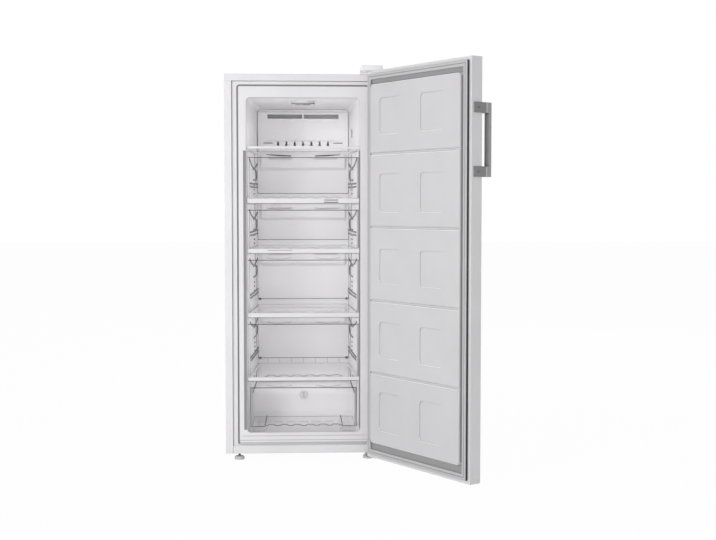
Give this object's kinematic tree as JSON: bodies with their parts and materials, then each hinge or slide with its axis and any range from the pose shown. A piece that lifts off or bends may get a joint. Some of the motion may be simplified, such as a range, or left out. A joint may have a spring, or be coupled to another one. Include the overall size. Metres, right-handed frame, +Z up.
{
  "type": "upright freezer",
  "caption": "Tall white single-door freezer with clear pull-out drawers between glass shelves, an open top compartment and a grey bar handle, door standing open.",
  "frame": {"origin": "on the floor, at the centre of the cabinet's footprint", "axes": "+Z up; the door side faces -Y; +X to the right seen from the front, where the hinges are"},
  "size_m": [0.9452, 1.1308, 1.513],
  "materials": {
    "painted_sheet": "smooth white enamel",
    "top_plastic": "satin white",
    "liner_plastic": "smooth white",
    "foam": "closed-cell foam",
    "galvanised_sheet": "galvanised",
    "clear_drawer": "clear, faintly blue",
    "shelf_glass": "clear",
    "shelf_trim_plastic": "smooth white",
    "lens_plastic": "frosted",
    "gasket_rubber": "soft grey",
    "handle_plastic": "silver grey",
    "foot_plastic": "light grey",
    "roller_plastic": "dark grey",
    "black_paint": "satin black",
    "black_rubber": "matte",
    "black_plastic": "matte",
    "zinc_steel": "zinc plated",
    "aluminium": "mill finish",
    "copper": "copper tube"
  },
  "bodies": {
    "cabinet": {"side_panel_right": "painted_sheet", "side_panel_left": "painted_sheet", "top_cover": "top_plastic", "rear_panel": "galvanised_sheet", "bottom_trim": "top_plastic", "base_plate": "galvanised_sheet", "bay_panel": "galvanised_sheet", "inner_liner": "liner_plastic", "foam_body": "foam", "shelf_glass_1": "shelf_glass", "shelf_glass_2": "shelf_glass", "shelf_glass_3": "shelf_glass", "shelf_glass_4": "shelf_glass", "shelf_glass_5": "shelf_glass", "shelf_trim_1": "shelf_trim_plastic", "shelf_trim_2": "shelf_trim_plastic", "shelf_trim_3": "shelf_trim_plastic", "shelf_trim_4": "shelf_trim_plastic", "shelf_trim_5": "shelf_trim_plastic", "evaporator_cover": "liner_plastic", "duct_panel": "liner_plastic", "lamp_housing": "liner_plastic", "lamp_lens": "lens_plastic", "sensor_cover": "liner_plastic", "hump_plug": "liner_plastic", "evaporator_coil": "aluminium", "evaporator_fins": "aluminium", "drain_trough": "aluminium", "fan_shroud": "black_plastic", "fan_motor": "zinc_steel", "compressor": "black_paint", "compressor_grommets": "black_rubber", "relay_box": "black_plastic", "evaporation_tray": "black_plastic", "condenser": "black_paint", "refrigerant_pipes": "copper", "cord_gland": "black_plastic", "hinge_upper": "zinc_steel", "hinge_lower": "zinc_steel", "hinge_screws": "zinc_steel", "hinge_cover": "top_plastic"},
    "door": {"door_outer_panel": "painted_sheet", "door_cap_top": "top_plastic", "door_cap_bottom": "top_plastic", "door_liner": "liner_plastic", "door_foam": "foam", "door_gasket": "gasket_rubber", "handle_bar": "handle_plastic", "handle_brackets": "handle_plastic", "handle_screws": "zinc_steel"},
    "drawer_1": {"drawer_1": "clear_drawer"},
    "drawer_2": {"drawer_2": "clear_drawer"},
    "drawer_3": {"drawer_3": "clear_drawer"},
    "drawer_4": {"drawer_4": "clear_drawer"},
    "drawer_5": {"drawer_5": "clear_drawer"},
    "fan": {"fan_blade": "black_plastic"},
    "foot_left": {"front_foot_left": "foot_plastic"},
    "foot_right": {"front_foot_right": "foot_plastic"},
    "roller_left": {"rear_roller_left": "roller_plastic"},
    "roller_right": {"rear_roller_right": "roller_plastic"}
  },
  "joints": [
    {"name": "door_swing", "type": "hinge", "parent": "cabinet", "child": "door", "pos_m": [0.279, -0.335, 0.758], "axis": [0, 0, 1], "range_deg": [-123, 12]},
    {"name": "drawer_1_slide", "type": "slide", "parent": "cabinet", "child": "drawer_1", "axis": [0, -1, 0], "range_m": [0, 0.38]},
    {"name": "drawer_2_slide", "type": "slide", "parent": "cabinet", "child": "drawer_2", "axis": [0, -1, 0], "range_m": [0, 0.38]},
    {"name": "drawer_3_slide", "type": "slide", "parent": "cabinet", "child": "drawer_3", "axis": [0, -1, 0], "range_m": [0, 0.38]},
    {"name": "drawer_4_slide", "type": "slide", "parent": "cabinet", "child": "drawer_4", "axis": [0, -1, 0], "range_m": [0, 0.38]},
    {"name": "drawer_5_slide", "type": "slide", "parent": "cabinet", "child": "drawer_5", "axis": [0, -1, 0], "range_m": [0, 0.19]},
    {"name": "fan_spin", "type": "hinge", "parent": "cabinet", "child": "fan", "pos_m": [0, 0.197, 1.175], "axis": [0, -1, 0], "continuous": true},
    {"name": "foot_left_turn", "type": "hinge", "parent": "cabinet", "child": "foot_left", "pos_m": [-0.25, -0.25, 0.02], "axis": [0, 0, 1], "continuous": true},
    {"name": "foot_right_turn", "type": "hinge", "parent": "cabinet", "child": "foot_right", "pos_m": [0.25, -0.25, 0.02], "axis": [0, 0, 1], "continuous": true},
    {"name": "roller_left_spin", "type": "hinge", "parent": "cabinet", "child": "roller_left", "pos_m": [-0.25, 0.25, 0.0135], "axis": [1, 0, 0], "continuous": true},
    {"name": "roller_right_spin", "type": "hinge", "parent": "cabinet", "child": "roller_right", "pos_m": [0.25, 0.25, 0.0135], "axis": [1, 0, 0], "continuous": true}
  ]
}
